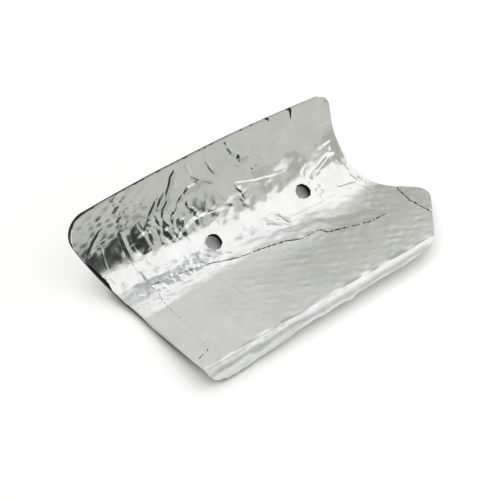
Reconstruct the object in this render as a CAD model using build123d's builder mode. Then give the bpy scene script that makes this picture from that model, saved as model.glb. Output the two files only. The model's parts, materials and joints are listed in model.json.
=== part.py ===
from build123d import *

import os
from math import asin, atan2, cos, degrees, hypot, radians, sin, tan

# Exhaust heat shield. A thin moulded shell is bent up round the pipe that it screens, and its hollow
# side is lined with overlapping pieces of foil-faced glass cloth. It lies on a table with its hollow
# side up, rocked back on the outside of its bend. X runs along the bend and Y from the lip back to the
# wall, and the origin is on the table under the middle of the shield. Lengths are in millimetres and
# angles in degrees. Levels are heights over the hollow face of the shell, towards the pipe.

# Sheets
shell_thickness = 1.5
foil_thickness = 0.3

# Section across the bend
floor_depth = 40.3
bend_radius = 32.0
wall_angle = 77.5
wall_height = 16.5

# Lip along the front of the floor, whose fold and lower edge both run a little askew
lip_fold_radius = 3.0
lip_turn = 85.0
lip_skew = 2.3
lip_drop = 4.9
lip_taper = 1.65
lip_corner_radius = 5.0

# Left end and top edge
overall_length = 167.0
wall_overhang = 13.2
flare_blend_radius = 24.0
flared_corner_radius = 9.5
top_fall_left = 1.4
top_fall_right = 3.8
top_corner_radius = 7.0

# Right end, with the nose of the floor
nose_reach = 16.8
nose_setback = 18.0
nose_angle = 45.0
nose_radius = 7.0
nose_flare_radius = 36.0
front_corner_radius = 24.0

# Bolt holes, drilled square to the bend
hole_diameter = 8.0
hole_spacing = 55.0
hole_inset = 32.0
hole_angle = 31.0
foil_hole_diameter = 8.8

# Pieces of foil
foil_lap = 4.0
lap_step_width = 0.8
seam_rise = 14.5
seam_fall = 17.5
seam_bow = 3.4
panel_corner_inset = 9.5
panel_side_rise = 24.5
left_strip_width = 11.5
left_strip_end_width = 7.5
left_strip_setback = 12.0
nose_patch_width = 10.7

# Balance on the table, with the weight over the line where the bend touches
rest_tilt = 9.4

# How far the trimming outlines stand clear of the edges that they don't cut
trim_margin = 1.0

# Landmarks along X, and distances past every edge
nose_tip = overall_length / 2
wall_right = nose_tip - nose_reach
left_tip = -overall_length / 2
floor_left = left_tip + wall_overhang
reach = nose_tip + trim_margin
deep = floor_depth + bend_radius + wall_height

# Landmarks of the section, from the start of the bend. The bent half of the floor starts at its middle,
# and the half with the lip reaches past the middle, so that the two always run together.
floor_middle = floor_depth / 2
floor_overrun = floor_middle / 2
lip_face = floor_depth + lip_fold_radius
outer_radius = bend_radius + shell_thickness
wall_top = bend_radius * sin(radians(wall_angle)) + wall_height

# The planes that the shield is drawn on
tilt = radians(rest_tilt)
back_way = Vector(0, cos(tilt), -sin(tilt))
up_way = Vector(0, sin(tilt), cos(tilt))
bend_axis = Vector(0, 0, outer_radius)
bend_start = bend_axis - up_way * bend_radius
section_plane = Plane(bend_start, x_dir=back_way, z_dir=(1, 0, 0))
plan = Plane(bend_start, x_dir=(1, 0, 0), z_dir=up_way)
wall_plane = plan.rotated((wall_angle, 0, 0))
hole_plane = Plane(bend_axis, x_dir=(1, 0, 0), z_dir=up_way).rotated((hole_angle, 0, 0))
fold_way = Vector(cos(radians(lip_skew)), 0, 0) - back_way * sin(radians(lip_skew))
fold_middle = bend_start - back_way * floor_depth
lip_plane = Plane(fold_middle, x_dir=up_way.cross(fold_way), z_dir=fold_way)


def bend_line(level):
    """Back half of the floor, the bend and the wall, on the section plane."""
    floor = Line((-floor_middle, level), (0, level))
    bend = JernArc(floor @ 1, (1, 0), bend_radius - level, wall_angle)
    wall = Line(bend @ 1, bend @ 1 + (bend % 1) * wall_height)
    return floor @ 0, wall @ 1


def lip_line(level):
    """Front of the floor, past its middle, and the lip, on the lip plane."""
    floor = Line((floor_middle + floor_overrun, level), (0, level))
    fold = JernArc(floor @ 1, (-1, 0), lip_fold_radius + level, lip_turn)
    lip = Line(fold @ 1, fold @ 1 + (fold % 1) * lip_drop)
    return floor @ 0, lip @ 1


def plan_outline():
    """Right end and front from above: wall end, hollow flare, rounded nose, slanted side, front line."""
    slant = 1 / tan(radians(nose_angle))
    skew = tan(radians(lip_skew))
    sharp_tip = nose_tip + nose_radius * (1 / cos(radians(nose_angle)) - 1)
    knee = (sharp_tip - wall_right) * slant - nose_setback
    front = lip_face + 2 * foil_thickness + trim_margin
    front_right = (sharp_tip * slant + nose_setback - front) / (slant + skew)
    with BuildSketch(plan) as outline:
        with BuildLine():
            FilletPolyline(
                (wall_right, deep),
                (wall_right, knee),
                (sharp_tip, -nose_setback),
                (front_right, -front - front_right * skew),
                (-reach, -front + reach * skew),
                (-reach, deep),
                radius=(0, nose_flare_radius, nose_radius, front_corner_radius, 0, 0),
                close=True,
            )
        make_face()
    return outline.sketch


def lip_edge(x):
    """Lower edge of the lip at x, measured up the wall plane."""
    back = -lip_face - x * tan(radians(lip_skew))
    up = (x - floor_left) * tan(radians(lip_taper)) - lip_drop
    return back * cos(radians(wall_angle)) + up * sin(radians(wall_angle))


def wall_outline():
    """Left end, top and lip square to the wall: lip corner, floor end, flare, rounded corner, bowed top."""
    left_top = wall_top - top_fall_left
    right_top = wall_top - top_fall_right
    corner_x = left_tip + flared_corner_radius
    corner_up = left_top - flared_corner_radius
    corner_way = hypot(corner_x - floor_left, corner_up)
    corner_half = asin(flared_corner_radius / corner_way)
    lean = corner_half + atan2(floor_left - corner_x, corner_up)
    ease = flare_blend_radius * tan(lean / 2)
    flare_run = corner_way * cos(corner_half) - ease
    with BuildSketch(wall_plane) as outline:
        with BuildLine():
            blend = JernArc((floor_left, -ease), (0, 1), flare_blend_radius, degrees(lean))
            flare = Line(blend @ 1, blend @ 1 + (blend % 1) * flare_run)
            corner = JernArc(flare @ 1, flare % 1, flared_corner_radius, -90 - degrees(lean))
            top_middle = ((corner_x + wall_right) / 2, wall_top)
            top = ThreePointArc(corner @ 1, top_middle, (wall_right, right_top))
            FilletPolyline(
                top @ 1,
                (reach, right_top),
                (reach, lip_edge(reach)),
                (floor_left, lip_edge(floor_left)),
                blend @ 0,
                radius=(0, 0, lip_corner_radius),
            )
        make_face()
    return outline.sketch


def formed_sheet(low, high):
    """The sheet between two levels, bent and trimmed to the shield's outline."""
    with BuildPart() as sheet:
        for plane, line in ((section_plane, bend_line), (lip_plane, lip_line)):
            with BuildSketch(plane):
                with BuildLine():
                    low_start, low_end = line(low)
                    high_start, high_end = line(high)
                    Line(low_start, high_start)
                    Line(low_end, high_end)
                make_face()
            extrude(amount=overall_length, both=True)
        extrude(plan_outline(), amount=deep, both=True, mode=Mode.INTERSECT)
        extrude(wall_outline(), amount=deep, both=True, mode=Mode.INTERSECT)
        corners = sheet.edges().filter_by(Axis(bend_start, wall_plane.z_dir)).sort_by(Axis.X)
        fillet(corners[-1], top_corner_radius)
    return sheet.part


def bolt_holes(diameter):
    """Both bolt holes as pins, from the axis of the bend out through the shell."""
    right_hole = wall_right - hole_inset
    with BuildPart() as pins:
        with BuildSketch(hole_plane):
            with Locations((right_hole, 0), (right_hole - hole_spacing, 0)):
                Circle(diameter / 2)
        extrude(amount=-outer_radius - trim_margin)
    return pins.part


def upper_region(inset):
    """What the upper foil panel covers, as a block, drawn in from its seam by inset."""
    strip_edge = floor_left + left_strip_width
    corner = (wall_right - panel_corner_inset, -seam_fall)
    side_end = (wall_right + trim_margin, panel_side_rise - seam_fall)
    seam_middle = ((strip_edge + corner[0]) / 2, (seam_rise - seam_fall) / 2 + seam_bow)
    far = overall_length
    with BuildPart() as region:
        with BuildSketch(plan):
            with BuildLine():
                seam = ThreePointArc((strip_edge, seam_rise), seam_middle, corner)
                Polyline(seam @ 1, side_end, (far, side_end[1]), (far, far), (-far, far))
                Polyline((-far, far), (-far, seam_rise), seam @ 0)
            make_face()
            if inset:
                offset(amount=-inset)
        extrude(amount=deep, both=True)
    return region.part


def left_strip_region():
    """What the left strip covers, as a block, narrowing along the floor to its front end."""
    front_end = left_strip_setback - lip_face
    with BuildPart() as region:
        with BuildSketch(plan):
            with BuildLine():
                Polyline(
                    (-reach, front_end),
                    (floor_left + left_strip_end_width, front_end),
                    (floor_left + left_strip_width, 0),
                    (floor_left + left_strip_width, deep),
                    (-reach, deep),
                    close=True,
                )
            make_face()
        extrude(amount=deep, both=True)
    return region.part


# Moulded shell
with BuildPart() as shield_shell:
    add(formed_sheet(-shell_thickness, 0))
    add(bolt_holes(hole_diameter), mode=Mode.SUBTRACT)
shield_shell.part.label = "shield_shell"

# Foil on the floor, folded down over the lip and tucked under the upper panel
with BuildPart() as floor_panel:
    add(formed_sheet(0, foil_thickness))
    add(upper_region(foil_lap), mode=Mode.SUBTRACT)
    add(bolt_holes(foil_hole_diameter), mode=Mode.SUBTRACT)
floor_panel.part.label = "foil_floor_panel"

# Lower margin of the upper panel, one foil higher, where it laps over the floor panel
with BuildPart() as lap_margin:
    add(formed_sheet(foil_thickness, 2 * foil_thickness))
    add(upper_region(0), mode=Mode.INTERSECT)
    add(upper_region(foil_lap + lap_step_width), mode=Mode.SUBTRACT)
    add(left_strip_region(), mode=Mode.SUBTRACT)

# Foil on the bend and the wall
with BuildPart() as upper_panel:
    add(formed_sheet(0, foil_thickness))
    add(upper_region(foil_lap), mode=Mode.INTERSECT)
    add(lap_margin.part)
    add(bolt_holes(foil_hole_diameter), mode=Mode.SUBTRACT)
upper_panel.part.label = "foil_upper_panel"

# Strip of foil over both panels along the left end
with BuildPart() as left_strip:
    add(formed_sheet(foil_thickness, 2 * foil_thickness))
    add(left_strip_region(), mode=Mode.INTERSECT)
left_strip.part.label = "foil_left_strip"

# Patch of foil over the floor panel on the nose
with BuildPart() as nose_patch:
    add(formed_sheet(foil_thickness, 2 * foil_thickness))
    with BuildSketch(plan):
        with Locations((nose_tip - nose_patch_width, 0)):
            Rectangle(reach, 2 * overall_length, align=(Align.MIN, Align.CENTER))
    extrude(amount=deep, both=True, mode=Mode.INTERSECT)
nose_patch.part.label = "foil_nose_patch"

# The foil on the lip reaches furthest to the front and the top of the wall furthest back, and the
# origin is halfway between them.
front = floor_panel.part.bounding_box().min.Y
back = shield_shell.part.bounding_box().max.Y
seat = Location((0, -(front + back) / 2, 0))

os.makedirs("parts", exist_ok=True)
for piece in (shield_shell, floor_panel, upper_panel, left_strip, nose_patch):
    export_step(piece.part.moved(seat), f"parts/{piece.part.label}.step")
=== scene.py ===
import json
from math import cos, pi, radians, sin

import bpy
import numpy as np
from mathutils import Matrix, Vector, geometry, kdtree


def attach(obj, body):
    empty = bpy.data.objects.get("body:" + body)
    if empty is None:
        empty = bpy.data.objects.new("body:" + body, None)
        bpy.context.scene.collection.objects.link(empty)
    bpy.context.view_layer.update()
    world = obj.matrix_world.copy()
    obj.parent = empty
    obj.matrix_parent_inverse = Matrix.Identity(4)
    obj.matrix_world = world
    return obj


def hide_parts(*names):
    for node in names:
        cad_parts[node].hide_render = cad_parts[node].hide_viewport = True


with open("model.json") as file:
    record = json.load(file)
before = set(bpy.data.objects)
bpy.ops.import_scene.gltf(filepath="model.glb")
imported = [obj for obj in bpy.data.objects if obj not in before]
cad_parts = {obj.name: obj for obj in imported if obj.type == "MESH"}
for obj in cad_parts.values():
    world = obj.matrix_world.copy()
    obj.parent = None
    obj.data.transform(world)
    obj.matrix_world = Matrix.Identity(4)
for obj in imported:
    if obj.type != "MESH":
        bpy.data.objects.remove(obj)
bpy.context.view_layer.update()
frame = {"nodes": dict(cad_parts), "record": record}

# Dressing of the exhaust heat shield. The black shell keeps its mesh and gets a moulded finish. Each piece
# of foil is modelled anew as a closed sheet with its waves, weave, creases and torn edges, laid out in the
# shield's flat pattern and then bent to shape. The flat pattern's x runs along the bend and its s runs up
# the section from the start of the bend, and a level is a height over the shell's hollow face. These are
# in millimetres, and what Blender holds is in metres.

MM = 0.001

# Section of the shield
FLOOR_DEPTH = 40.3
BEND_RADIUS = 32.0
WALL_ANGLE = radians(77.5)
LIP_FOLD_RADIUS = 3.0
LIP_TURN = radians(85.0)
LIP_SKEW = radians(2.3)
REST_TILT = radians(9.4)
SHELL = 1.5
FOIL = 0.3
BEND_END = BEND_RADIUS * WALL_ANGLE

# The shield's own directions at rest, and the start of its bend, worked out from a bolt hole
BACK = np.array([0.0, cos(REST_TILT), -sin(REST_TILT)])
UP = np.array([0.0, sin(REST_TILT), cos(REST_TILT)])
ALONG = np.array([1.0, 0.0, 0.0])
bolt_hole = frame["record"]["mounts"][0]
hole_middle = np.array(bolt_hole["pos_m"]) / MM
hole_way = np.array(bolt_hole["axis"])
BEND_START = hole_middle + hole_way * (BEND_RADIUS + SHELL / 2) - UP * BEND_RADIUS
BEND_START[0] = 0.0

# Camera of the photograph, whose pixels count from the top left corner
IMAGE_SIZE = 500
FOCAL_PIXELS = 1189.0
SENSOR = 36.0
CAMERA_AIM = np.array([-4.55, 9.79, -3.43])
CAMERA_DISTANCE = 541.0
CAMERA_AZIMUTH = radians(48.31)
CAMERA_ELEVATION = radians(47.15)
CAMERA_ROLL = radians(9.23)
CAMERA_CLIP = 10.0


def camera_axes():
    """Right, up and forward directions of the camera."""
    flat = np.array([sin(CAMERA_AZIMUTH), cos(CAMERA_AZIMUTH), 0.0])
    level = np.array([cos(CAMERA_AZIMUTH), -sin(CAMERA_AZIMUTH), 0.0])
    forward = flat * cos(CAMERA_ELEVATION) - np.array([0.0, 0.0, sin(CAMERA_ELEVATION)])
    upright = np.cross(level, forward)
    right = level * cos(CAMERA_ROLL) + upright * sin(CAMERA_ROLL)
    return right, np.cross(right, forward), forward


CAMERA_RIGHT, CAMERA_UP, CAMERA_FORWARD = camera_axes()
CAMERA_PLACE = CAMERA_AIM - CAMERA_FORWARD * CAMERA_DISTANCE


# Flat pattern and form

def curl(along, level, radius, turn, side):
    """Forward reach and height of a sheet that runs straight, then turns, then runs straight again.

    It turns towards its upper face where side is 1 and away from it where side is -1.
    """
    angle = np.clip(along / radius, 0, turn)
    arm = radius - side * level
    rest = along - radius * angle
    forward = arm * np.sin(angle) + rest * np.cos(angle)
    height = side * (radius - arm * np.cos(angle) + rest * np.sin(angle))
    return forward, height


def uncurl(forward, height, radius, turn, side):
    """Distance along the sheet and level of a point, the reverse of curl."""
    below = radius - side * height
    angle = np.clip(np.arctan2(forward, below), 0, turn)
    level = side * (radius - forward * np.sin(angle) - below * np.cos(angle))
    along = radius * angle + forward * np.cos(angle) - below * np.sin(angle)
    return along, level


def to_fold(x, s):
    """Place along the lip's fold, and distance behind it."""
    behind = s + FLOOR_DEPTH
    return x * cos(LIP_SKEW) - behind * sin(LIP_SKEW), x * sin(LIP_SKEW) + behind * cos(LIP_SKEW)


def from_fold(along, behind):
    """Flat x and s of a place along the lip's fold, the reverse of to_fold."""
    x = along * cos(LIP_SKEW) + behind * sin(LIP_SKEW)
    return x, behind * cos(LIP_SKEW) - along * sin(LIP_SKEW) - FLOOR_DEPTH


def formed(x, s, level):
    """Points of the bent sheet, at rest, for points of the flat pattern at a level."""
    along, behind = to_fold(x, s)
    ahead, level = curl(-behind, level, LIP_FOLD_RADIUS, LIP_TURN, -1)
    x, s = from_fold(along, -ahead)
    forward, height = curl(s, level, BEND_RADIUS, WALL_ANGLE, 1)
    return BEND_START + np.outer(x, ALONG) + np.outer(forward, BACK) + np.outer(height, UP)


def flattened(points):
    """Flat x and s, and the level, of points on the bent sheet, the reverse of formed."""
    from_start = points - BEND_START
    s, level = uncurl(from_start @ BACK, from_start @ UP, BEND_RADIUS, WALL_ANGLE, 1)
    along, behind = to_fold(points[:, 0], s)
    ahead, level = uncurl(-behind, level, LIP_FOLD_RADIUS, LIP_TURN, -1)
    x, s = from_fold(along, -ahead)
    return x, s, level


# The foil's section from the fold to past the top edge, for finding what the camera sees
PAST_TOP = 25.0
SECTION_STEP = 0.2
SECTION_S = np.arange(-FLOOR_DEPTH, BEND_END + PAST_TOP, SECTION_STEP)
SECTION = formed(np.zeros_like(SECTION_S), SECTION_S, np.full_like(SECTION_S, FOIL))


def seen_at(pixel):
    """Flat point of the foil that the camera sees at a pixel of the photograph."""
    half = IMAGE_SIZE / 2
    across = CAMERA_RIGHT * (pixel[0] - half) + CAMERA_UP * (half - pixel[1])
    ray = CAMERA_FORWARD + across / FOCAL_PIXELS
    offset = SECTION - CAMERA_PLACE
    side = offset[:, 1] * ray[2] - offset[:, 2] * ray[1]
    crossings = np.nonzero(side[:-1] * side[1:] <= 0)[0]
    reach = offset[crossings, 2] / ray[2]
    first = crossings[np.argmin(reach)]
    share = side[first] / (side[first] - side[first + 1])
    height = offset[first, 2] + share * (offset[first + 1, 2] - offset[first, 2])
    return CAMERA_PLACE[0] + ray[0] * height / ray[2], SECTION_S[first] + share * SECTION_STEP


# Outlines in the flat pattern

# How far off the hollow face a point of it may lie, the size under which a triangle counts for nothing, and
# the decimals up to which two points are the same
FACE_TOLERANCE = 0.05
SLIVER = 1e-6
POINT_DECIMALS = 3


def linked(edges):
    """Closed rings of vertex numbers from loose directed edges, the longest first."""
    follow = dict(edges)
    rings = []
    while follow:
        start, here = follow.popitem()
        ring = [start]
        while here != start:
            ring.append(here)
            here = follow.pop(here)
        rings.append(ring)
    return sorted(rings, key=len, reverse=True)


def rim_edges(triangles):
    """Directed edges that only one triangle has."""
    edges = {}
    for a, b, c in triangles:
        for edge in ((a, b), (b, c), (c, a)):
            edges[edge] = True
    return [edge for edge in edges if (edge[1], edge[0]) not in edges]


def hollow_face_rings():
    """Rims of the shell's hollow face in the flat pattern: the outline, then the bolt holes."""
    mesh = frame["nodes"]["shield_shell"].data
    mesh.calc_loop_triangles()
    points = np.array([vertex.co for vertex in mesh.vertices], float) / MM
    rounded = points.round(POINT_DECIMALS)
    _, first, same = np.unique(rounded, axis=0, return_index=True, return_inverse=True)
    same = same.reshape(-1)
    x, s, level = flattened(points[first])
    on_face = np.abs(level) < FACE_TOLERANCE
    triangles = []
    for triangle in mesh.loop_triangles:
        corners = [int(same[i]) for i in triangle.vertices]
        if all(on_face[corners]) and len(set(corners)) == 3:
            (ax, bx, cx), (ay, by, cy) = x[corners], s[corners]
            if abs((bx - ax) * (cy - ay) - (cx - ax) * (by - ay)) > SLIVER:
                triangles.append(corners)
    return [np.column_stack((x[ring], s[ring])) for ring in linked(rim_edges(triangles))]


def closed_steps(ring):
    """Steps from each point of a closed ring to the next."""
    return np.roll(ring, -1, axis=0) - ring


def divided(ring, spacing):
    """A closed ring with its edges divided to a spacing."""
    points = []
    for start, step in zip(ring, closed_steps(ring)):
        count = max(1, round(float(np.hypot(*step)) / spacing))
        points.extend(start + step * share / count for share in range(count))
    return np.array(points)


def outward(ring):
    """Directions square to a closed ring, away from what it encloses."""
    steps = closed_steps(ring)
    area = np.sum(ring[:, 0] * steps[:, 1] - ring[:, 1] * steps[:, 0])
    tangent = steps + np.roll(steps, 1, axis=0)
    tangent /= np.hypot(*tangent.T)[:, None]
    return np.column_stack((tangent[:, 1], -tangent[:, 0])) * np.sign(area)


def inside(points, ring):
    """Which points lie within a closed ring."""
    result = np.zeros(len(points), bool)
    x, y = points.T
    for (ax, ay), (bx, by) in zip(ring, np.roll(ring, -1, axis=0)):
        if ay != by:
            crosses = (ay > y) != (by > y)
            result ^= crosses & (x < ax + (y - ay) * (bx - ax) / (by - ay))
    return result


class Nearest:
    """Distances to a set of points."""

    def __init__(self, points):
        self.tree = kdtree.KDTree(len(points))
        for number, (x, y) in enumerate(points):
            self.tree.insert((x, y, 0), number)
        self.tree.balance()

    def __call__(self, points):
        return np.array([self.tree.find((x, y, 0))[2] for x, y in points])


# Masks and random heights over the flat pattern

# Bumps after which the random heights repeat, and a factor that brings the highest of them near to 1
NOISE_CELLS = 64
NOISE_GAIN = 1.4


def noise(x, s, x_length, s_length, seed):
    """Smooth random heights between about -1 and 1, with bumps about as long as the two lengths."""
    x, s = x / x_length, s / s_length
    angles = np.random.default_rng(seed).uniform(0, 2 * pi, (NOISE_CELLS, NOISE_CELLS))
    cell_x, cell_s = np.floor(x).astype(int), np.floor(s).astype(int)
    in_x, in_s = x - cell_x, s - cell_s

    def corner(right, top):
        angle = angles[(cell_x + right) % NOISE_CELLS, (cell_s + top) % NOISE_CELLS]
        return np.cos(angle) * (in_x - right) + np.sin(angle) * (in_s - top)

    def eased(share):
        return share ** 3 * (share * (share * 6 - 15) + 10)

    low = corner(0, 0) + eased(in_x) * (corner(1, 0) - corner(0, 0))
    high = corner(0, 1) + eased(in_x) * (corner(1, 1) - corner(0, 1))
    return NOISE_GAIN * (low + eased(in_s) * (high - low))


def smooth(value, start, end):
    """0 before start, 1 past end, and an eased rise between them."""
    share = np.clip((value - start) / (end - start), 0, 1)
    return share * share * (3 - 2 * share)


def band(value, rise, fall):
    """A mask that rises and falls again, each between a start and an end."""
    return smooth(value, *rise) * (1 - smooth(value, *fall))


def oval(x, s, middle, across, upward):
    """A soft oval mask, with reaches to its left and right and to below and above it."""
    x_reach = np.where(x < middle[0], *across)
    s_reach = np.where(s < middle[1], *upward)
    return np.exp(-((x - middle[0]) / x_reach) ** 2 - ((s - middle[1]) / s_reach) ** 2)


def past_fold(x, s, run):
    """A mask of the foil at the lip, which rises over a run of distances past the start of the fold."""
    _, behind = to_fold(x, s)
    return smooth(-behind, *run)


# Zones of the foil: the middles and reaches of ovals
OVAL_ZONES = {
    "crinkled": ((-36, 36), (26, 16)),
    "calm": ((-70, 32), (11, 6)),
    "left wall": ((-64, 48), (26, 15)),
    "left gathers": ((-42, 32), (14, 5)),
    "low on the left": ((-46, 11), (22, 8)),
    "between the holes": ((2, 23), (26, 8)),
    "below the holes": ((12, 8), (46, 6)),
    "right fan": ((50, 12), (20, 9)),
    "right end": ((52, 8), (22, 16)),
}
# Zones that run along the whole foil: where they rise and where they fall again, up the section
BAND_ZONES = {
    "gathered": ((-2, 6), (28, 42)),
    "upper bend": ((10, 20), (36, 48)),
}
# Where the floor's zone falls off up the section, and the runs past the start of the fold over which the
# zones of the lip and of the fold rise
FLOOR_FALL = (-6, 2)
LIP_RUN = (0.0, 2.7)
FOLD_RUN = (-2.0, 0.8)


def zone_masks(x, s):
    """Masks of the zones by their names."""
    masks = {"everywhere": 1.0, "floor": 1 - smooth(s, *FLOOR_FALL)}
    for name, (middle, (x_reach, s_reach)) in OVAL_ZONES.items():
        masks[name] = oval(x, s, middle, (x_reach, x_reach), (s_reach, s_reach))
    for name, (rise, fall) in BAND_ZONES.items():
        masks[name] = band(s, rise, fall)
    masks["lip"] = past_fold(x, s, LIP_RUN)
    masks["fold"] = past_fold(x, s, FOLD_RUN)
    return masks


# Relief of the foil

# Random waves of the zones, and those at the lip's fold: height, length along x and along s, and seed
WAVES = {
    "everywhere": [(0.025, 17, 13, 1), (0.008, 7, 6, 2)],
    "crinkled": [(0.08, 17, 13, 1), (0.03, 7, 6, 2)],
    "gathered": [(0.06, 17, 13, 1), (0.05, 7, 6, 2), (0.06, 8, 3, 11), (0.025, 3, 2, 12)],
    "upper bend": [(0.20, 9, 11, 7), (0.07, 4, 5, 8)],
    "low on the left": [(0.10, 5, 3, 13), (0.06, 2, 2, 14)],
    "between the holes": [(0.40, 6, 9, 17), (0.07, 2.5, 4.5, 18)],
    "below the holes": [(0.13, 14, 3.2, 19)],
    "left gathers": [(0.24, 2.4, 5, 23)],
    "right fan": [(0.22, 5, 4, 24), (0.05, 2, 2, 25)],
}
FOLD_WAVES = {
    "lip": [(0.20, 7, 4, 9), (0.09, 2.5, 2, 10)],
    "fold": [(0.4, 11, 3.5, 15), (0.05, 4, 2.5, 16)],
}
# Loose bulges: height, middle, reach to the left and right, and reach to below and above
BULGES = [
    (2.2, (7, 29), (27, 20), (12, 11)),
    (1.1, (34, 31), (8, 8), (6, 6)),
    (1.1, (22, 4), (32, 32), (9, 9)),
    (0.9, (50, 13), (15, 15), (9, 9)),
    (1.2, (55, 28), (11, 11), (8, 14)),
    (0.6, (-60, 8), (12, 12), (7, 7)),
]
# Small dents, steep on the left and falling off slowly on the right, given as the bulges are but for the
# middle, which is a pixel of the photograph
DENTS = [
    (0.60, (239, 157), (1.4, 4.2), (2.0, 2.0)),
    (0.35, (251, 167.5), (0.8, 2.4), (1.0, 1.0)),
]
# Creases that the photograph shows: crest height, width of the steep flank, reach of the soft flank, and the
# pixels that the crest runs through
CREASES = [
    # from the top edge down and along the wall
    (0.30, 0.5, 1.2, [(183, 164), (186, 166), (190.5, 175), (197, 178), (206, 180), (214, 183)]),
    (0.55, 0.8, 1.6, [(184, 193), (187, 188), (194, 184), (199, 178.5)]),
    (0.30, 0.5, 1.2, [(177, 202), (182, 194)]),
    (0.32, 0.6, 1.4, [(162, 217), (162, 210), (166.5, 201), (165.5, 195), (169, 184), (170, 177),
                      (175, 169)]),
    (0.45, 0.7, 1.6, [(156.5, 208.5), (160, 199), (164.6, 192.5)]),
    (0.40, 0.6, 1.4, [(148.4, 216), (151, 210), (155, 201.5)]),
    (0.40, 0.6, 1.2, [(205.7, 163), (209, 167.5), (213.7, 172.7)]),
    (0.45, 1.1, 1.2, [(224, 140.7), (227, 147), (232.6, 154)]),
    (0.22, 0.5, 1.0, [(229, 157.7), (235, 163.5), (241, 165.3)]),
    (0.40, 0.7, 1.6, [(234.3, 187), (238.7, 191.6), (241.4, 197)]),
    (0.22, 0.5, 1.0, [(257.7, 154.3), (263, 159.6)]),
    (0.50, 1.1, 1.4, [(328, 146.5), (328.6, 151.2), (331, 153)]),
    (0.35, 0.8, 1.4, [(321, 147), (331, 140)]),
    # gathers across the bend
    (0.30, 1.6, 0.7, [(119.5, 233), (123, 241), (127, 250), (131, 257)]),
    (0.95, 5.2, 1.6, [(140.5, 232.5), (145, 240.5), (151.5, 249)]),
    (0.55, 2.6, 1.4, [(147.5, 230), (153, 238), (157.5, 243.5)]),
    (0.45, 2.2, 1.2, [(163, 229.5), (168, 233), (173.5, 238)]),
    (0.35, 1.6, 1.0, [(174, 229.5), (179, 236.5)]),
    (0.15, 0.4, 0.5, [(126.5, 250), (133, 245.5), (139, 241)]),
    (0.45, 1.0, 1.4, [(173.6, 213), (171.8, 219.3), (172.7, 223.7)]),
    (0.40, 0.8, 1.4, [(165.5, 223), (170, 226.4)]),
    (0.40, 0.8, 1.4, [(156.2, 219.3), (159.3, 224.2)]),
    (0.40, 0.8, 1.4, [(151, 220), (147.7, 223.7), (151.2, 225.5)]),
    (0.35, 0.8, 1.2, [(186, 203), (187, 205.5)]),
    (0.35, 0.7, 1.2, [(189.6, 207.7), (194.5, 210)]),
    (0.35, 0.7, 1.2, [(195, 214.4), (197.7, 216.6)]),
    (0.35, 0.7, 1.2, [(180.7, 220.2), (183.8, 218.8)]),
    (0.12, 0.5, 0.8, [(231.8, 183), (252.3, 180.6), (273, 175.7), (285.4, 171.7)]),
    (0.45, 1.2, 2.4, [(181, 234.5), (193, 220.2), (205, 214.8)]),
    # lens between the bolt holes
    (0.40, 0.7, 1.0, [(264, 216), (272, 216.8), (281.8, 220.4)]),
    (0.40, 0.7, 1.2, [(268.4, 213.7), (277.3, 215), (287, 222), (292.5, 224.8)]),
    (0.35, 0.7, 1.0, [(259.5, 218.6), (268, 222.5), (277, 225.5), (286, 227)]),
    # fan from the right bolt hole to the right end
    (0.75, 1.4, 3.0, [(309.5, 181), (318, 168.5), (325.5, 158.5), (335.4, 153.5)]),
    (0.35, 1.2, 2.5, [(317, 190), (330, 179), (346, 170)]),
    (0.25, 1.0, 2.0, [(317, 198), (335, 191), (352, 185)]),
    (0.35, 0.8, 1.6, [(303, 181), (301, 174), (303, 168)]),
    (0.35, 1.0, 2.0, [(332.7, 161.4), (341.6, 166), (350.5, 175.7), (364, 184.6)]),
    # left end
    (0.30, 0.8, 1.4, [(98.4, 232), (92, 243), (86.8, 257)]),
    (0.045, 0.35, 0.35, [(100.3, 246), (104.4, 263.6), (111.5, 280), (117, 286)]),
]
# The side of a crest on which its steep flank lies, as a direction in the flat pattern, the rounding of the
# crest, and how a crease dies away at its ends
STEEP_WAY = (-0.54, 0.84)
CREST_ROUNDING = 0.12
CREASE_TAPER = 2.0
CREASE_END_SHARE = 0.35

# Random fields: length along x and along s, and seed
ROUGHNESS = (9, 9, 5)
WEAVE_WANDER = (8, 8, 6)
FLOOR_BUMPS = (3.2, 2.8, 20)
RIDGES = (5, 6, 3)
SMALL_RIDGES = (2.8, 2.4, 4)

# Mean height of the foil over the face under it, and how much of the random relief the calm zone loses
MEAN_GAP = 0.35
CALMED_SHARE = 0.85

# The glass cloth's weave: its periods, how far it wanders from them, and the heights of its dimples
WEAVE_X = 9.2
WEAVE_S = 5.5
WEAVE_PHASE = 0.3
WEAVE_WANDER_ANGLE = 0.7
DIMPLE = 0.006
ROUGH_DIMPLE = 0.030
ROUGH_DIMPLE_RISE = (-0.1, 0.6)
LEFT_WALL_DIMPLE = 0.11
LEFT_WALL_SHARES = (0.6, 0.6)
FLOOR_BUMP = 0.035
FLOOR_BUMP_RISE = (0.15, 0.8)

# Sharp random ridges: their heights in the zones, how the gathered ones follow the roughness, and the shares
# of wide and small ridges
CRINKLED_RIDGE = 0.03
GATHERED_RIDGE = 0.04
RIGHT_END_RIDGE = 0.04
GATHERED_SHARES = (0.6, 0.8)
WIDE_RIDGE_SHARE = 1.6
SMALL_RIDGE_SHARE = 0.9


def varied(shares, value):
    """A constant share, and a share that follows a value."""
    return shares[0] + shares[1] * value


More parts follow.
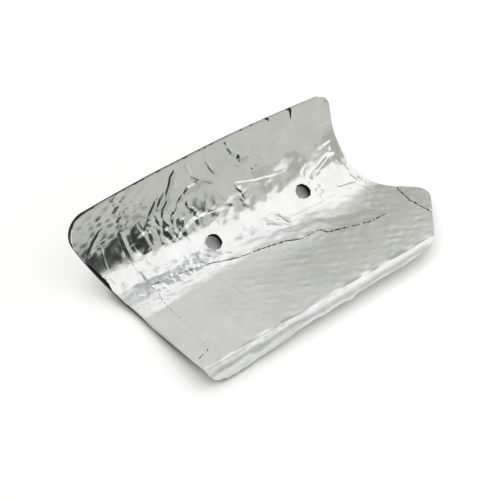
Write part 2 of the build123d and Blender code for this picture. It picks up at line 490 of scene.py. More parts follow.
def crease_height(x, s, height, steep_width, soft_reach, pixels):
    """Relief of one crease: a crest along its line, with flanks that fall off on both sides."""
    line = np.array([seen_at(pixel) for pixel in pixels])
    lengths = np.hypot(*np.diff(line, axis=0).T)
    total = lengths.sum()
    before = np.concatenate(([0.0], np.cumsum(lengths)))
    nearest = np.full(len(x), np.inf)
    offset = np.zeros(len(x))
    place = np.zeros(len(x))
    for start, end, length, done in zip(line, line[1:], lengths, before):
        way = (end - start) / length
        dx, ds = x - start[0], s - start[1]
        along = np.clip(dx * way[0] + ds * way[1], 0, length)
        gap = np.hypot(dx - along * way[0], ds - along * way[1])
        closer = gap < nearest
        nearest = np.where(closer, gap, nearest)
        offset = np.where(closer, way[0] * ds - way[1] * dx, offset)
        place = np.where(closer, done + along, place)
    chord = line[-1] - line[0]
    steep_side = np.sign(chord[0] * STEEP_WAY[1] - chord[1] * STEEP_WAY[0])
    away = np.hypot(nearest, CREST_ROUNDING) - CREST_ROUNDING
    steep = np.maximum(1 - away / steep_width, 0)
    flank = np.where(offset * steep_side > 0, steep, np.exp(-away / soft_reach))
    taper = min(CREASE_TAPER, total / 2)
    from_end = smooth(np.minimum(place, total - place), 0, taper)
    return height * (CREASE_END_SHARE + (1 - CREASE_END_SHARE) * from_end) * flank


def wave_height(x, s, masks, waves):
    """Sum of the random waves of some zones."""
    total = 0.0
    for zone, rows in waves.items():
        for height, *field in rows:
            total = total + masks[zone] * height * noise(x, s, *field)
    return total


def weave_height(x, s, masks, calm, rough):
    """Dimples of the weave, deepest on the left wall, and small bumps on the floor."""
    wander = WEAVE_WANDER_ANGLE * noise(x, s, *WEAVE_WANDER)
    weave = np.cos(2 * pi * x / WEAVE_X + wander) * np.cos(2 * pi * s / WEAVE_S + WEAVE_PHASE + wander)
    dimple = DIMPLE + ROUGH_DIMPLE * smooth(rough, *ROUGH_DIMPLE_RISE)
    dimple = dimple + LEFT_WALL_DIMPLE * masks["left wall"] * varied(LEFT_WALL_SHARES, rough)
    bumps = smooth(noise(x, s, *FLOOR_BUMPS), *FLOOR_BUMP_RISE)
    return weave * calm * dimple + masks["floor"] * FLOOR_BUMP * bumps


def ridge_height(x, s, masks, calm, rough):
    """Sharp random ridges of crinkled foil."""
    gathered = GATHERED_RIDGE * masks["gathered"] * varied(GATHERED_SHARES, rough)
    height = calm * (CRINKLED_RIDGE * masks["crinkled"] + gathered + RIGHT_END_RIDGE * masks["right end"])
    wide = WIDE_RIDGE_SHARE * (1 - np.abs(noise(x, s, *RIDGES)))
    small = SMALL_RIDGE_SHARE * (1 - np.abs(noise(x, s, *SMALL_RIDGES)))
    return np.maximum(height, 0) * (wide + small)


def relief(x, s):
    """Height of the foil over the face that it lies on."""
    masks = zone_masks(x, s)
    calm = 1 - CALMED_SHARE * masks["calm"]
    rough = noise(x, s, *ROUGHNESS)
    total = MEAN_GAP + calm * wave_height(x, s, masks, WAVES) + wave_height(x, s, masks, FOLD_WAVES)
    total = total + weave_height(x, s, masks, calm, rough) + ridge_height(x, s, masks, calm, rough)
    for height, *shape in BULGES:
        total = total + height * oval(x, s, *shape)
    for crease in CREASES:
        total = total + crease_height(x, s, *crease)
    for height, pixel, *reaches in DENTS:
        total = total + height * oval(x, s, seen_at(pixel), *reaches)
    return np.maximum(total, 0)


# Seams between the pieces of foil, in the flat pattern: the upper panel's edge over the floor panel, which
# turns up at the right end, the left strip's edge, and the nose patch's edge
LAP_SEAM = [
    (-60.0, 14.9), (-50.7, 13.4), (-40.5, 12.0), (-28.3, 9.3), (-15.0, 4.3), (-3.8, 2.0), (7.2, -1.3),
    (15.0, -5.0), (25.0, -5.8), (26.6, -8.8), (34.4, -12.0), (41.8, -15.0), (48.0, -16.7), (57.2, -17.6),
]
LAP_SEAM_END = [(59.4, -12.9), (60.5, -8.4), (63.0, -1.7), (64.6, 3.8), (67.2, 7.0)]
STRIP_SEAM = [
    (-60.5, 35.5), (-60.0, 25.6), (-58.6, 16.3), (-58.0, 9.6), (-59.0, 1.4), (-60.0, -13.3), (-61.5, -23.1),
    (-62.9, -30.0),
]
STRIP_END = (-69.5, -31.4)
PATCH_SEAM = [(75.0, -7.2), (72.4, -17.9), (72.8, -23.8), (73.5, -30.0)]

# How far the floor panel goes in under the upper panel, the run over which that one comes down again, and
# the ease of its step beside the left strip
LAP = 4.0
LAP_EASE = 5.0
LAP_END_RISE = 2.0
PANEL_CLEARANCE = 0.05
STRIP_EASE = (-0.2, 1.2)
# A distance that lies outside the shield on every side
FAR = 120.0

# Painted shade line along a seam, standing for the shadow in the gap between the pieces: thinner along the
# left half of the bend, and wider at the left end
SEAM_THINNED = 0.08
SEAM_THINNED_RISE = (-56, -46)
SEAM_THINNED_FALL = (4, 34)
SEAM_WIDENED = 0.05
SEAM_WIDENED_FALL = (-58, -54)
NO_SEAM = 9.0

# Loose edges along the seams, lifted unevenly by a long and a short wave: the height and seed of each seam,
# and the lift round the bolt holes
LIFT_REACH = 1.4
LIFT_MEAN = 0.7
LIFT_LONG_WAVE = 0.4
LIFT_LONG_LENGTH = 4.0
LIFT_SHORT_WAVE = 0.5
LIFT_SHORT_LENGTH = 1.4
SHORT_SEED_STEP = 3
LAP_LIFT = (0.15, 41)
STRIP_LIFT = (0.07, 42)
PATCH_LIFT = (0.14, 43)
HOLE_LIFT = 0.15
HOLE_LIFT_REACH = 0.8

# Ragged cuts: amount, length and seed
HOLE_CUT = (0.22, 1.3, 31)
SEAM_CUT = (0.3, 2.5, 52)
EDGE_CUT_LENGTH = 3.0
EDGE_CUT_SEED = 21

# Foil at the lip: the run over which it starts, how far it reaches past the lower edge at places along x,
# and the torn edge
LIP_EDGE_RUN = (2.0, 4.0)
LIP_REACH = [
    (-68, 0.5), (-62, 2.3), (-54, 2.5), (-46, 2.1), (-38, 1.4), (-30, 1.2), (-25, 0.3), (-13, 0.15),
    (-10, 0.7), (-3, 0.5), (2, 0.3), (5, 1.1), (8, 1.4), (9, 0.2), (20, 0.15), (28, 0.5), (36, 1.0),
    (46, 1.4), (54, 0.8), (58, 0.1),
]
LEAST_LIP_REACH = 0.05
TORN_WAVE = (0.22, 1.4, 22)
TORN_ROUGH = 0.2

# Foil cut back from the shell's edge: along the top, where the shell shows as a thin line on the left, and
# at the left end, with a bare wedge at the corner
TOP_RISE = (40, 52)
TOP_CUT = 0.12
TOP_CUT_FALL = (0, 60)
LEFT_CUT_FALL = (-74, -66)
LEFT_CUT_RISE = (2, 8)
LEFT_CUT = 0.1
LEFT_ROUGH_CUT = 0.25
WEDGE_CUT = 1.0
WEDGE_RISE = (20, 25)
WEDGE_FALL = (32, 38)
# Tears from the top edge down: the pixel where a tear starts, its depth and half its width
TEARS = [((289.5, 110), 6.0, 0.55), ((267.5, 120.5), 1.4, 0.5)]

# How far the foil goes down over the shell's edge: anywhere, at the floor's left end, round the nose, and
# along the top, where it grows to the right
WRAP = 0.03
FLOOR_END_WRAP = 1.5
FLOOR_END_FALL_S = (-4, 4)
FLOOR_END_FALL_X = (-66, -62)
NOSE_WRAP = 1.2
NOSE_RISE_X = (60, 66)
NOSE_RISE_S = (-36, -28)
NOSE_FALL_S = (8, 16)
TOP_WRAP = 1.1
TOP_WRAP_SHARES = (0.4, 0.7)
TOP_WRAP_RISE = (-60, 66)

# Meshes of the foil: spacing of the points, with a finer zone where the foil is crinkled most, and the rim,
# which stands a little off what it goes round
SPACING = 0.58
FINE_SPACING = 0.39
FINE_X = (-80.0, 18.0)
FINE_S = (9.0, 57.0)
ROW_SHARE = 0.866
EDGE_CLEAR = 0.3
MERGE_DISTANCE = 1e-4
NEAR_EDGE = 0.9
RIM_GAP = 0.02
RIM_WALL = 0.05

OUTLINE, *hole_rings = hollow_face_rings()


def ragged(ring, amount, length, seed):
    """A divided ring moved in and out a little, as where foil was cut or torn by hand."""
    ring = divided(ring, SPACING)
    shift = amount * noise(*ring.T, length, length, seed)
    return ring + outward(ring) * shift[:, None]


def foil_outline():
    """Edge of the foil along the shield's outline, cut back a little where the shell shows."""
    ring = divided(OUTLINE, SPACING)
    x, s = ring.T
    rough = 0.5 + 0.5 * noise(x, s, EDGE_CUT_LENGTH, EDGE_CUT_LENGTH, EDGE_CUT_SEED)
    torn_height, torn_length, torn_seed = TORN_WAVE
    torn_edge_and_seam_shade = torn_height * noise(x, s, torn_length, torn_length, torn_seed) + TORN_ROUGH * rough
    reach = np.maximum(np.interp(x, *np.transpose(LIP_REACH)) + torn_edge_and_seam_shade, LEAST_LIP_REACH)
    top = smooth(s, *TOP_RISE) * (1 - smooth(x, *TOP_CUT_FALL))
    left_end = (1 - smooth(x, *LEFT_CUT_FALL)) * smooth(s, *LEFT_CUT_RISE)
    left_cut = LEFT_CUT + LEFT_ROUGH_CUT * rough + WEDGE_CUT * band(s, WEDGE_RISE, WEDGE_FALL)
    cut_back = rough * TOP_CUT * top - past_fold(x, s, LIP_EDGE_RUN) * reach + left_end * left_cut
    for pixel, depth, width in TEARS:
        off = (x - seen_at(pixel)[0]) / width
        cut_back = cut_back + np.where(s > BEND_END, depth * np.exp(-off * off), 0)
    return ring - outward(ring) * cut_back[:, None]


def wrap_depth(x, s):
    """How far the foil reaches down over the shell's edge."""
    floor_end = (1 - smooth(s, *FLOOR_END_FALL_S)) * (1 - smooth(x, *FLOOR_END_FALL_X))
    nose = smooth(x, *NOSE_RISE_X) * band(s, NOSE_RISE_S, NOSE_FALL_S)
    top = smooth(s, *TOP_RISE) * varied(TOP_WRAP_SHARES, smooth(x, *TOP_WRAP_RISE))
    return WRAP + FLOOR_END_WRAP * floor_end + NOSE_WRAP * nose + TOP_WRAP * top


def seam_fade(x):
    """Distance added to the gap from a seam, which thins its line of painted shade or widens it."""
    thinned = SEAM_THINNED * band(x, SEAM_THINNED_RISE, SEAM_THINNED_FALL)
    return thinned - SEAM_WIDENED * (1 - smooth(x, *SEAM_WIDENED_FALL))


def hole_edges():
    """Ragged edges of the foil round the bolt holes."""
    amount, length, seed = HOLE_CUT
    return [ragged(ring, amount, length, seed + i) for i, ring in enumerate(hole_rings)]


FOIL_EDGE = foil_outline()
HOLE_EDGES = hole_edges()
near_edge = Nearest(divided(OUTLINE, SPACING / 2))
near_holes = Nearest(np.vstack(HOLE_EDGES))


# Meshes of the foil

def hex_grid(low, high, spacing):
    """Points of a triangular grid over a rectangle."""
    rows = np.arange(low[1], high[1], spacing * ROW_SHARE)
    columns = np.arange(low[0], high[0], spacing)
    shift = np.where(np.arange(len(rows)) % 2, spacing / 2, 0)
    return np.column_stack(((columns[None, :] + shift[:, None]).ravel(), np.repeat(rows, len(columns))))


def in_fine_zone(points):
    """Which points lie where the foil is crinkled most."""
    x, s = points.T
    return (x > FINE_X[0]) & (x < FINE_X[1]) & (s > FINE_S[0]) & (s < FINE_S[1])


def sheet_triangles(region):
    """Flat points and triangles of a piece of foil within a region of the shield's outline."""
    region = ragged(np.array(region), *SEAM_CUT)
    rings = [FOIL_EDGE, region, *HOLE_EDGES]

    def kept(points):
        result = inside(points, FOIL_EDGE) & inside(points, region)
        for ring in HOLE_EDGES:
            result &= ~inside(points, ring)
        return result

    low = np.maximum(FOIL_EDGE.min(0), region.min(0))
    high = np.minimum(FOIL_EDGE.max(0), region.max(0))
    coarse = hex_grid(low, high, SPACING)
    coarse = coarse[~in_fine_zone(coarse)]
    fine = hex_grid(low, high, FINE_SPACING)
    fine = fine[in_fine_zone(fine)]
    near_rings = Nearest(np.vstack(rings))
    fine = fine[near_rings(fine) > FINE_SPACING / 2]
    coarse = coarse[near_rings(coarse) > EDGE_CLEAR]
    grid = np.vstack((coarse, fine))
    grid = grid[kept(grid)]
    points = [Vector(point) for point in np.vstack([*rings, grid])]
    edges = []
    for ring in rings:
        start = len(edges)
        edges.extend((start + i, start + (i + 1) % len(ring)) for i in range(len(ring)))
    flat, _, faces, *_ = geometry.delaunay_2d_cdt(points, edges, [], 0, MERGE_DISTANCE)
    flat = np.array(flat)
    faces = np.array(faces)
    faces = faces[kept(flat[faces].mean(axis=1))]
    used, faces = np.unique(faces, return_inverse=True)
    return flat[used], faces.reshape(-1, 3)


def sheet_mesh(name, flat, faces, bottom, layer):
    """A closed sheet from flat triangles and the levels of its underside.

    Its rim goes down over the shell's edge, further out for a higher layer, and ends in the open at a seam.
    The mesh holds each point's distance from a seam, and how far it lies over the lip's fold.
    """
    x, s = flat.T
    count = len(flat)
    edges = rim_edges(faces.tolist())
    rings = linked(edges)
    order = np.concatenate(rings)
    out = np.zeros((count, 2))
    for ring in rings:
        way = outward(flat[ring])
        out[ring] = way if ring is rings[0] else -way
    rim_in = RIM_GAP + layer * (RIM_GAP + RIM_WALL)
    rim_out = rim_in + RIM_WALL
    on_edge = near_edge(flat[order]) < NEAR_EDGE
    at_edge = np.minimum(0, bottom[order]) - wrap_depth(x[order], s[order])
    rim_low = np.where(on_edge, at_edge, bottom[order] - RIM_GAP)
    top = flat + out * rim_out
    under = flat + out * rim_in
    points = np.vstack((
        formed(*top.T, bottom + FOIL),
        formed(*under.T, bottom),
        formed(*top[order].T, rim_low),
        formed(*under[order].T, rim_low),
    ))
    low_outer, low_inner = 2 * count, 2 * count + len(order)
    rim = np.full(count, -1)
    rim[order] = np.arange(len(order))
    polygons = [tuple(face) for face in faces]
    polygons += [tuple(face[::-1] + count) for face in faces]
    for a, b in edges:
        ra, rb = rim[a], rim[b]
        polygons.append((b, a, low_outer + ra, low_outer + rb))
        polygons.append((low_outer + rb, low_outer + ra, low_inner + ra, low_inner + rb))
        polygons.append((low_inner + rb, low_inner + ra, count + a, count + b))
    mesh = bpy.data.meshes.new(name)
    mesh.from_pydata(points * MM, [], polygons)
    mesh.polygons.foreach_set("use_smooth", np.ones(len(polygons), bool))
    ends = np.zeros(len(mesh.edges) * 2, np.int32)
    mesh.edges.foreach_get("vertices", ends)
    is_rim = np.zeros(len(points), bool)
    is_rim[order] = True
    is_rim[order + count] = True
    is_rim[2 * count:] = True
    sharp = is_rim[ends.reshape(-1, 2)].all(axis=1)
    mesh.attributes.new("sharp_edge", "BOOLEAN", "EDGE").data.foreach_set("value", sharp)
    gap = np.full(count, NO_SEAM)
    if not on_edge.all():
        gap = np.minimum(NO_SEAM, Nearest(flat[order[~on_edge]])(flat) + seam_fade(x))
    for label, values in (("seam_gap", gap), ("on_fold", past_fold(x, s, LIP_RUN))):
        values = np.concatenate((values, values, values[order], values[order]))
        mesh.attributes.new(label, "FLOAT", "POINT").data.foreach_set("value", values)
    mesh.update()
    return mesh


def foil_piece(name, node, region, layer, level, lift):
    """A closed sheet of foil over a region, at a level, lifted where lift says."""
    flat, faces = sheet_triangles(region)
    x, s = flat.T
    hole_lift = HOLE_LIFT * np.exp(-near_holes(flat) / HOLE_LIFT_REACH)
    bottom = level(x, s) + relief(x, s) + lift(x, s) + hole_lift
    piece = bpy.data.objects.new(name, sheet_mesh(name, flat, faces, bottom, layer))
    bpy.context.scene.collection.objects.link(piece)
    piece.data.materials.append(FOIL_FINISH)
    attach(piece, "root")
    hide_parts(node)


# Finishes

# Numbers of the colour sockets of a Mix node
MIX_FIRST = 6
MIX_SECOND = 7
MIX_RESULT = 2

BRIGHT_FOIL = (0.80, 0.80, 0.79)
GREY_FOIL = (0.73, 0.735, 0.73)
# Painted sheen of the foil over the fold: brighter and bluer than the rest of the foil, in lengthwise
# streaks
FOLD_SHEEN_BRIGHT = (0.97, 0.97, 0.985)
FOLD_SHEEN_GREY = (0.80, 0.80, 0.83)
# Painted shade of the gap along the seams, a near-black colour in place of the foil
SEAM_SHADE_COLOUR = (0.05, 0.05, 0.048)
DARK_RESIN = (0.012, 0.012, 0.013)
PALE_RESIN = (0.03, 0.03, 0.031)
RESIN_SPECULAR = 0.3


class Finish:
    """A material under construction, with its shader and short ways to add nodes."""

    def __init__(self, name):
        self.material = bpy.data.materials.new(name)
        self.material.use_nodes = True
        self.nodes = self.material.node_tree.nodes
        self.shader = self.nodes["Principled BSDF"]

    def add(self, kind, **values):
        """A new node, with values for its inputs by their names."""
        node = self.nodes.new("ShaderNode" + kind)
        for name, value in values.items():
            node.inputs[name].default_value = value
        return node

    def link(self, output, target):
        self.material.node_tree.links.new(output, target)

    def drive(self, socket, output):
        """Link an output to the shader."""
        self.link(output, self.shader.inputs[socket])

    def place(self, coordinates):
        return self.add("TexCoord").outputs[coordinates]

    def noise(self, scale, detail=2.0, roughness=0.5, stretch=None):
        node = self.add("TexNoise", Scale=scale, Detail=detail, Roughness=roughness)
        place = self.place("Object")
        if stretch:
            mapping = self.add("Mapping", Scale=stretch)
            self.link(place, mapping.inputs["Vector"])
            place = mapping.outputs["Vector"]
        self.link(place, node.inputs["Vector"])
        return node.outputs["Fac"]

    def ranged(self, value, to=(0, 1), over=(0, 1), eased=False):
        """A value that runs over one range, carried over to another range and held at its ends."""
        names = ("From Min", "From Max", "To Min", "To Max")
        node = self.add("MapRange", **dict(zip(names, (*over, *to))))
        if eased:
            node.interpolation_type = "SMOOTHSTEP"
        self.link(value, node.inputs["Value"])
        return node.outputs["Result"]

    def mixed(self, share, first, second):
        """A mix of two colours, each a constant or an output."""
        node = self.add("Mix")
        node.data_type = "RGBA"
        for socket, colour in ((MIX_FIRST, first), (MIX_SECOND, second)):
            if isinstance(colour, tuple):
                node.inputs[socket].default_value = (*colour, 1)
            else:
                self.link(colour, node.inputs[socket])
        self.link(share, node.inputs["Factor"])
        return node.outputs[MIX_RESULT]

    def combined(self, operation, first, *others):
        """An output joined to others, or to numbers, one after another by a maths operation."""
        for other in others:
            node = self.add("Math")
            node.operation = operation
            self.link(first, node.inputs[0])
            if isinstance(other, float):
                node.inputs[1].default_value = other
            else:
                self.link(other, node.inputs[1])
            first = node.outputs[0]
        return first

    def attribute(self, name):
        node = self.add("Attribute")
        node.attribute_name = name
        return node.outputs["Fac"]

    def openness(self, distance):
        """How little of what lies within a distance stands over a surface."""
        return self.add("AmbientOcclusion", Distance=distance).outputs["AO"]

    def bump(self, height, distance, strength):
        node = self.add("Bump", Distance=distance, Strength=strength)
        self.link(height, node.inputs["Height"])
        self.drive("Normal", node.outputs["Normal"])


def foil_finish():
    """Bright rolled foil, duller in patches and over the fold, with a painted sheen over the fold and
    painted shade along the seams.
    """
    finish = Finish("foil")
    on_fold = finish.attribute("on_fold")
    # Painted shade along the seams: dark, not metallic and duller where the gap from a seam is small, broken
    # up by noise
    uneven = finish.ranged(finish.noise(scale=1000), to=(-0.14, 0.28), over=(0.35, 0.65))
    stretches = finish.ranged(finish.noise(scale=70, detail=1), to=(-0.05, 0.06), over=(0.4, 0.6))
    gap = finish.combined("ADD", uneven, stretches, finish.attribute("seam_gap"))
    torn_edge_and_seam_shade = finish.ranged(gap, to=(1, 0), over=(0.03, 0.13))
    patches = finish.ranged(finish.noise(scale=120, detail=3), over=(0.3, 0.7))
    bright = finish.mixed(patches, BRIGHT_FOIL, GREY_FOIL)
    # Painted sheen over the fold, lighter and bluer than the foil, streaked along the fold
    long_noise = finish.noise(scale=1, detail=3, roughness=0.6, stretch=(60, 900, 900))
    fold_sheen = finish.mixed(finish.ranged(long_noise, over=(0.3, 0.7)), FOLD_SHEEN_BRIGHT, FOLD_SHEEN_GREY)
    finish.drive("Base Color", finish.mixed(torn_edge_and_seam_shade, finish.mixed(on_fold, bright, fold_sheen), SEAM_SHADE_COLOUR))
    scuffed = finish.ranged(on_fold, to=(0, 0.4))
    finish.drive("Metallic", finish.ranged(finish.combined("ADD", torn_edge_and_seam_shade, scuffed), to=(1, 0)))
    grain = finish.ranged(finish.noise(scale=260, detail=3), to=(0.12, 0.20), over=(0.3, 0.7))
    dull_seam_shade = finish.ranged(torn_edge_and_seam_shade, to=(0, 0.4))
    dull_fold = finish.ranged(on_fold, to=(0, 0.34))
    finish.drive("Roughness", finish.combined("ADD", grain, dull_seam_shade, dull_fold))
    finish.bump(finish.noise(scale=900), distance=0.04 * MM, strength=0.5)
    return finish.material


def shell_finish():
    """Black moulded resin with a fine grain."""
    finish = Finish("moulded_shell")
    finish.drive("Base Color", finish.mixed(finish.noise(scale=90, detail=4), DARK_RESIN, PALE_RESIN))
    grain = finish.noise(scale=200, detail=4)
    finish.drive("Roughness", finish.ranged(grain, to=(0.45, 0.62), over=(0.3, 0.7)))
    finish.shader.inputs["Specular IOR Level"].default_value = RESIN_SPECULAR
    finish.bump(finish.noise(scale=1400, detail=3), distance=0.06 * MM, strength=0.5)
    return finish.material


FOIL_FINISH = foil_finish()


# Pieces

def near_line(line):
    """Distances to an open line."""
    return Nearest(divided(np.array([*line, *line[::-1]]), SPACING))


def seam_lift(line, amount, seed):
    """Lift of a loose foil edge along a seam."""
    near = near_line(line)

    def lift(x, s):
        gap = near(np.column_stack((x, s)))
        long_wave = LIFT_LONG_WAVE * noise(x, s, LIFT_LONG_LENGTH, LIFT_LONG_LENGTH, seed)
        short_seed = seed + SHORT_SEED_STEP
        short_wave = LIFT_SHORT_WAVE * noise(x, s, LIFT_SHORT_LENGTH, LIFT_SHORT_LENGTH, short_seed)
        return amount * (LIFT_MEAN + long_wave + short_wave) * np.exp(-gap / LIFT_REACH)

    return lift


def lapped_level(line):
    """Level of the upper panel, one foil higher where it laps over the floor panel."""
    near = near_line(line)
    strip_x, strip_s = np.transpose(STRIP_SEAM[::-1])

    def level(x, s):
        gap = near(np.column_stack((x, s)))
        beside_strip = smooth(x - np.interp(s, strip_s, strip_x), *STRIP_EASE)
        return FOIL * (1 - smooth(gap, LAP, LAP + LAP_EASE)) * beside_strip

    return level


def even(height):
    """The same height everywhere."""
    return lambda x, s: np.full(len(x), height)


def shifted(line, x_shift, s_shift):
    """A line moved in the flat pattern."""
    return [(x + x_shift, s + s_shift) for x, s in line]


def floor_region():
    """Region of the floor panel, which goes in under the upper panel."""
    tucked = shifted(LAP_SEAM, 0, LAP) + shifted(LAP_SEAM_END, -LAP, LAP_END_RISE)
    right_side = [(-FAR, -FAR), (FAR, -FAR), (FAR, FAR), (tucked[-1][0], FAR)]
    return [*right_side, *tucked[::-1], (-FAR, LAP_SEAM[0][1] + LAP)]


def upper_region():
    """Region of the upper panel, down to the lap seam, and to the floor panel under the left strip."""
    start_x, start_s = LAP_SEAM[0]
    over_floor = start_s + LAP + PANEL_CLEARANCE
    upper_side = [(FAR, LAP_SEAM_END[-1][1]), (FAR, FAR), (-FAR, FAR)]
    return [(-FAR, over_floor), (start_x, over_floor), *LAP_SEAM, *LAP_SEAM_END, *upper_side]


def strip_region():
    """Region of the left strip, from the strip's seam to the left."""
    top_side = [(STRIP_SEAM[0][0], FAR), (-FAR, FAR)]
    return [(-FAR, STRIP_END[1]), STRIP_END, *STRIP_SEAM[::-1], *top_side]


def patch_region():
    """Region of the nose patch, from the patch's seam to the right."""
    return [(FAR, 0), *PATCH_SEAM, (PATCH_SEAM[-1][0], -FAR), (FAR, -FAR)]


whole_lap = LAP_SEAM + LAP_SEAM_END
strip_edge = [STRIP_END, *STRIP_SEAM[::-1]]
foil_piece("floor_panel_foil", "foil_floor_panel", floor_region(), layer=0,
           level=even(0.0), lift=even(0.0))
foil_piece("upper_panel_foil", "foil_upper_panel", upper_region(), layer=0,
           level=lapped_level(whole_lap), lift=seam_lift(whole_lap, *LAP_LIFT))
foil_piece("left_strip_foil", "foil_left_strip", strip_region(), layer=1,
           level=even(FOIL), lift=seam_lift(strip_edge, *STRIP_LIFT))
foil_piece("nose_patch_foil", "foil_nose_patch", patch_region(), layer=1,
           level=even(FOIL), lift=seam_lift(PATCH_SEAM, *PATCH_LIFT))

shell = frame["nodes"]["shield_shell"]
shell.material_slots[0].material = shell_finish()


# Studio, in metres

WHITE = (1, 1, 1)
TENT = (0.98, 1.0, 0.90)
TENT_GLOW = 0.52
TENT_RADIUS = 1.2
TENT_RINGS = 16
TENT_SEGMENTS = 48

# The table shows white where the sky over it is open; a shadow painted into its colour and glow darkens it
# within a short way of the shield, and is darkest in the holes and under the edges
TABLE_HALF = 3.0
TABLE = (0.80, 0.80, 0.80)
TABLE_PAINTED_SHADOW = (0.05, 0.05, 0.035)
TABLE_ROUGHNESS = 0.9
TABLE_GLOW = 0.675
SHADOW_REACH = 0.014
PAINTED_SHADOW_REACH = 0.007
PAINTED_SHADOW_SHARES = (0.20, 0.78)


def emitter(name, colour, glow, fades=None):
    """A glow, fading in from the left, right, front and back edges of a card by shares of its sides."""
    finish = Finish(name)
    finish.nodes.remove(finish.shader)
    light = finish.add("Emission", Color=(*colour, 1), Strength=glow).outputs[0]
    surface = finish.nodes["Material Output"].inputs["Surface"]
    if not fades:
        finish.link(light, surface)
        return finish.material
    apart = finish.add("SeparateXYZ")
    finish.link(finish.place("UV"), apart.inputs[0])
    shares = []
    for axis, edge, width in zip("XXYY", (0, 1, 0, 1), fades):
        shares.append(finish.ranged(apart.outputs[axis], over=(edge, abs(edge - width)), eased=True))
    mix = finish.add("MixShader")
    clear = finish.add("BsdfTransparent").outputs[0]
    for output, target in zip((finish.combined("MULTIPLY", *shares), clear, light), mix.inputs):
        finish.link(output, target)
    finish.link(mix.outputs[0], surface)
    return finish.material


def staged(name, points, faces, material, hidden=True):
    """An object of the studio, out of the camera's sight where hidden is set."""
    mesh = bpy.data.meshes.new(name)
    mesh.from_pydata(points, [], faces)
    mesh.materials.append(material)
    obj = bpy.data.objects.new(name, mesh)
    bpy.context.scene.collection.objects.link(obj)
    if hidden:
        obj.visible_camera = False
        obj.visible_shadow = False
    return obj


def card(name, corner, side, rise, colour, glow, fades=None):
    """A rectangular glowing card from one corner along two sides."""
    corner, side, rise = (np.array(value, float) for value in (corner, side, rise))
    points = [corner, corner + side, corner + side + rise, corner + rise]
    points = [tuple(point) for point in points]
    obj = staged(name, points, [(0, 1, 2, 3)], emitter(name, colour, glow, fades))
    uv = obj.data.uv_layers.new(name="UVMap")
    for loop, place in zip(uv.data, ((0, 0), (1, 0), (1, 1), (0, 1))):
        loop.uv = place


def tent():
    """A dome round the table, made of rings that narrow to one point at the top."""
    points, faces = [], []
    for ring in range(TENT_RINGS):
        angle = pi / 2 * ring / TENT_RINGS
        radius, height = TENT_RADIUS * cos(angle), TENT_RADIUS * sin(angle)
        for segment in range(TENT_SEGMENTS):
            turn = 2 * pi * segment / TENT_SEGMENTS
            points.append((radius * cos(turn), radius * sin(turn), height))
    points.append((0, 0, TENT_RADIUS))
    top = len(points) - 1
    for ring in range(TENT_RINGS):
        for segment in range(TENT_SEGMENTS):
            a = ring * TENT_SEGMENTS + segment
            b = ring * TENT_SEGMENTS + (segment + 1) % TENT_SEGMENTS
            last = ring == TENT_RINGS - 1
            faces.append((b, a, top) if last else (b, a, a + TENT_SEGMENTS, b + TENT_SEGMENTS))
    staged("tent", points, faces, emitter("tent", TENT, TENT_GLOW))


def table_finish():
    """Pale table, which shows white apart from a painted shadow where the shield closes it in."""
    finish = Finish("table")
    finish.shader.inputs["Roughness"].default_value = TABLE_ROUGHNESS
    finish.shader.inputs["Specular IOR Level"].default_value = 0.0
    rays = finish.add("LightPath").outputs
    names = ("Is Camera Ray", "Is Glossy Ray", "Is Transmission Ray")
    seen = finish.combined("MAXIMUM", *(rays[name] for name in names))
    # Painted shadow: the table's colour and glow turn dark where the shield stands close over it
    painted_shadow = finish.ranged(finish.openness(PAINTED_SHADOW_REACH), over=PAINTED_SHADOW_SHARES)
    colour = finish.mixed(painted_shadow, TABLE_PAINTED_SHADOW, TABLE)
    finish.drive("Base Color", colour)
    finish.drive("Emission Color", colour)
    glow = finish.combined("MULTIPLY", seen, finish.openness(SHADOW_REACH), TABLE_GLOW)
    finish.drive("Emission Strength", glow)
    return finish.material


def table():
    """The table that the shield lies on."""
    corners = [(x * TABLE_HALF, y * TABLE_HALF, 0) for x, y in ((-1, -1), (1, -1), (1, 1), (-1, 1))]
    staged("table", corners, [(0, 1, 2, 3)], table_finish(), hidden=False)


table()
tent()
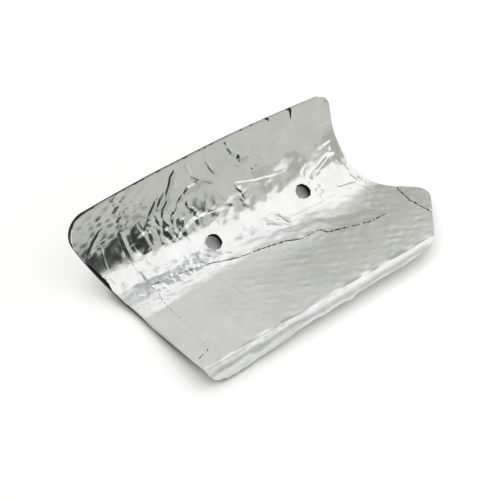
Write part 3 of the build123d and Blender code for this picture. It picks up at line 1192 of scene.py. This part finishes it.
# Overhead: a bright box, which shows along the bend, a weaker one behind it for the floor's middle, and a
# bluish gap in the first one
card("softbox", corner=(0.06, -0.58, 0.45), side=(0.70, 0, 0), rise=(0, 1.11, 0),
     colour=WHITE, glow=1.2, fades=(0.10, 0.15, 0.21, 0.30))
card("fill", corner=(0.10, 0.43, 0.46), side=(0.38, 0, 0), rise=(0, 0.28, 0),
     colour=WHITE, glow=0.80, fades=(0.2, 0.45, 0.1, 0.3))
card("gap", corner=(0.10, -0.05, 0.44), side=(0.135, 0, 0), rise=(0, 0.25, 0),
     colour=(0.90, 0.97, 1.05), glow=0.48, fades=(0.2, 0.35, 0.3, 0.35))
# In front: a dark flag for the gathers and the left end of the bend, and a wall and a sheet on the table,
# which show in the shield's wall, with a bright apron for the lip and a dark flag on the sheet
card("flag", corner=(-0.26, -0.32, 0.0), side=(0.385, 0, 0), rise=(0.048, 0, 0.32),
     colour=(0.75, 1.0, 1.0), glow=0.035, fades=(0.1, 0.05, 0.04, 0.19))
card("front_wall", corner=(-0.8, -0.80, 0.0), side=(2.0, 0, 0), rise=(0, 0, 0.62),
     colour=TENT, glow=0.68)
card("front", corner=(-0.30, -0.050, 0.001), side=(0.8, 0, 0), rise=(0, -0.62, 0),
     colour=TENT, glow=0.66)
card("apron", corner=(-0.12, -0.076, 0.0015), side=(0.26, 0, 0), rise=(0, 0.026, 0),
     colour=(0.98, 1.0, 1.02), glow=1.15, fades=(0.1, 0.1, 0.3, 0.01))
card("front_flag", corner=(-0.40, -0.80, 0.002), side=(0.52, 0, 0), rise=(-0.12, 0.65, 0),
     colour=(0.8, 1.0, 1.0), glow=0.05, fades=(0.1, 0.10, 0.1, 0.10))

world = bpy.data.worlds.new("studio")
world.use_nodes = True
world.node_tree.nodes["Background"].inputs["Color"].default_value = (*WHITE, 1)
bpy.context.scene.world = world
bpy.context.scene.view_settings.view_transform = "Standard"

# Camera
camera = bpy.data.cameras.new("camera")
camera.sensor_width = SENSOR
camera.lens = SENSOR * FOCAL_PIXELS / IMAGE_SIZE
camera.clip_start = CAMERA_CLIP * MM
viewer = bpy.data.objects.new("camera", camera)
bpy.context.scene.collection.objects.link(viewer)
stance = np.eye(4)
stance[:3, 0], stance[:3, 1], stance[:3, 2] = CAMERA_RIGHT, CAMERA_UP, -CAMERA_FORWARD
stance[:3, 3] = CAMERA_PLACE * MM
viewer.matrix_world = Matrix(stance.tolist())
bpy.context.scene.camera = viewer
